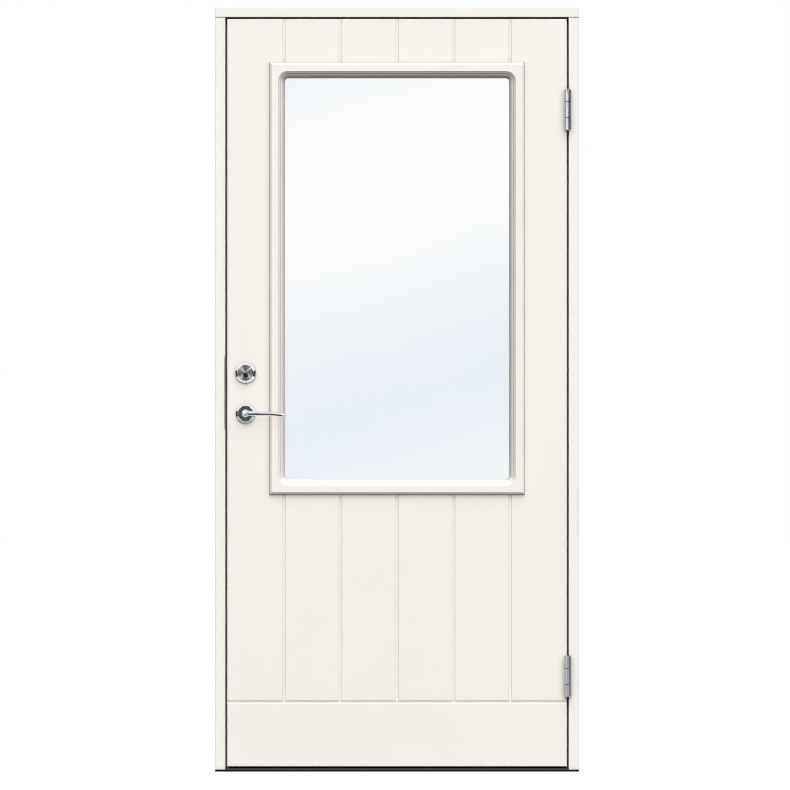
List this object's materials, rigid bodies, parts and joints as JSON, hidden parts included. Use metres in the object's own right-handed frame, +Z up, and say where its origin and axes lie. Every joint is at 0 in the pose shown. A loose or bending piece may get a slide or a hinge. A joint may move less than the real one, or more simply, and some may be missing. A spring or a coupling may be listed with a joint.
{
  "type": "glazed exterior door",
  "caption": "Painted exterior door with a large moulded glazing panel and upright grooves, hung on side hinges in a rebated frame with threshold, lever handle and key cylinder.",
  "frame": {"origin": "centre of the underside of the sill sole, in the middle of the frame's depth", "axes": "+Z up, +Y into the building, +X to the hinge side, to the right seen from outside"},
  "size_m": [0.99, 0.176, 2.08],
  "materials": {
    "frame_paint": "off-white satin paint on timber",
    "sole_plastic": "black",
    "threshold_metal": "dark anodised",
    "seal_rubber": "soft matt black",
    "strike_steel": "zinc plated",
    "hinge_steel": "zinc plated, satin",
    "washer_plastic": "dark nylon",
    "leaf_paint": "off-white satin paint on board",
    "core_timber": "off-white paint on timber edges",
    "moulding_paint": "off-white satin paint on moulded timber",
    "pane_glass": "clear sealed unit",
    "spacer_metal": "satin",
    "handle_chrome": "polished",
    "spindle_steel": "plain",
    "cylinder_steel": "turned satin face",
    "plug_brass": "worn brass"
  },
  "bodies": {
    "frame": {"frame_head": "frame_paint", "hinge_jamb": "frame_paint", "lock_jamb": "frame_paint", "sill_sole": "sole_plastic", "threshold": "threshold_metal", "frame_seal": "seal_rubber", "strike_plate": "strike_steel", "upper_hinge_jamb_plate": "hinge_steel", "upper_hinge_pin": "hinge_steel", "upper_hinge_washers": "washer_plastic", "lower_hinge_jamb_plate": "hinge_steel", "lower_hinge_pin": "hinge_steel", "lower_hinge_washers": "washer_plastic"},
    "leaf": {"outer_skin": "leaf_paint", "inner_skin": "leaf_paint", "hinge_stile": "core_timber", "lock_stile": "core_timber", "top_rail": "core_timber", "bottom_rail": "core_timber", "outer_glazing_frame": "moulding_paint", "inner_glazing_frame": "moulding_paint", "outer_pane": "pane_glass", "inner_pane": "pane_glass", "pane_spacer": "spacer_metal", "upper_hinge_leaf_plate": "hinge_steel", "lower_hinge_leaf_plate": "hinge_steel", "lock_faceplate": "strike_steel", "latch_bolt": "strike_steel", "dead_bolt": "strike_steel", "outer_handle_rose": "handle_chrome", "inner_handle_rose": "handle_chrome", "outer_cylinder_ring": "handle_chrome", "inner_cylinder_ring": "handle_chrome", "outer_cylinder": "cylinder_steel", "inner_cylinder": "cylinder_steel"},
    "lever": {"outer_lever": "handle_chrome", "inner_lever": "handle_chrome", "handle_spindle": "spindle_steel"},
    "key_plug": {"key_plug": "plug_brass"}
  },
  "joints": [
    {"name": "leaf_swing", "type": "hinge", "parent": "frame", "child": "leaf", "pos_m": [0.4646, -0.0625, 1.0315], "axis": [0, 0, 1], "range_deg": [0, 170]},
    {"name": "lever_turn", "type": "hinge", "parent": "leaf", "child": "lever", "pos_m": [-0.412, -0.0225, 0.975], "axis": [0, 1, 0], "range_deg": [0, 45], "stiffness_Nm_per_rad": 1.5, "springref_deg": -22.92},
    {"name": "plug_turn", "type": "hinge", "parent": "leaf", "child": "key_plug", "pos_m": [-0.412, -0.0625, 1.0785], "axis": [0, 1, 0], "range_deg": [0, 90]}
  ]
}
